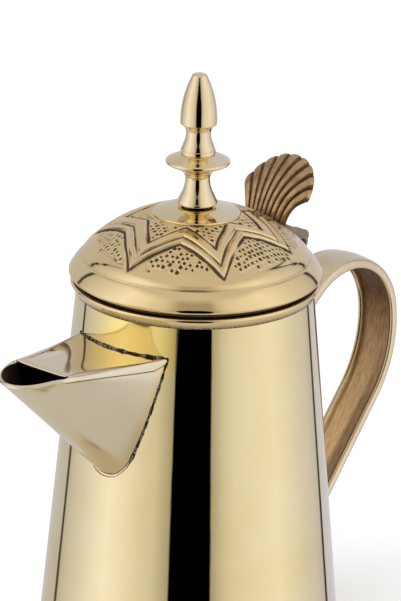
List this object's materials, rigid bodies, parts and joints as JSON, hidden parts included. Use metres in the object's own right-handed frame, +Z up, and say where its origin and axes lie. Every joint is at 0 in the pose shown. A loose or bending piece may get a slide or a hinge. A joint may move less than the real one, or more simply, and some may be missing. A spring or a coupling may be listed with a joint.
{
  "type": "dallah coffee pot",
  "caption": "Conical brass coffee pot with a folded open-mouthed spout, strap handle and hinged domed lid with a turned finial and a shell thumbpiece.",
  "frame": {"origin": "centre of the foot ring's underside, on the surface the pot stands on", "axes": "+Z up along the body's axis, +X from the spout towards the handle and the lid hinge, +Y along the hinge pin"},
  "size_m": [0.217, 0.1226, 0.2269],
  "materials": {
    "polished_brass": "mirror polished",
    "chased_brass": "polished, with darkened punch marks and chased lines",
    "turned_brass": "turned and polished",
    "handle_brass": "cast, polished outside and antiqued brown inside",
    "antique_brass": "cast, antiqued dark brown in the recesses",
    "solder": "rough silvery solder"
  },
  "bodies": {
    "pot": {"body_shell": "polished_brass", "rim_bead": "polished_brass", "base_plate": "polished_brass", "foot_ring": "polished_brass", "spout_trough": "polished_brass", "spout_cover": "polished_brass", "spout_solder": "solder", "handle_strap": "handle_brass", "handle_solder_upper": "solder", "handle_solder_lower": "solder", "hinge_bracket": "polished_brass", "hinge_pin": "antique_brass"},
    "lid": {"lid_dome": "chased_brass", "lid_collar": "polished_brass", "lid_boss": "polished_brass", "finial_base": "turned_brass", "finial_disc": "turned_brass", "finial_spire": "turned_brass", "finial_stud": "turned_brass", "finial_washer": "turned_brass", "finial_nut": "turned_brass", "hinge_leaf": "polished_brass", "thumbpiece": "antique_brass"}
  },
  "joints": [
    {"name": "lid_hinge", "type": "hinge", "parent": "pot", "child": "lid", "pos_m": [0.052, 0, 0.1517], "axis": [0, 1, 0], "range_deg": [0, 100]}
  ]
}
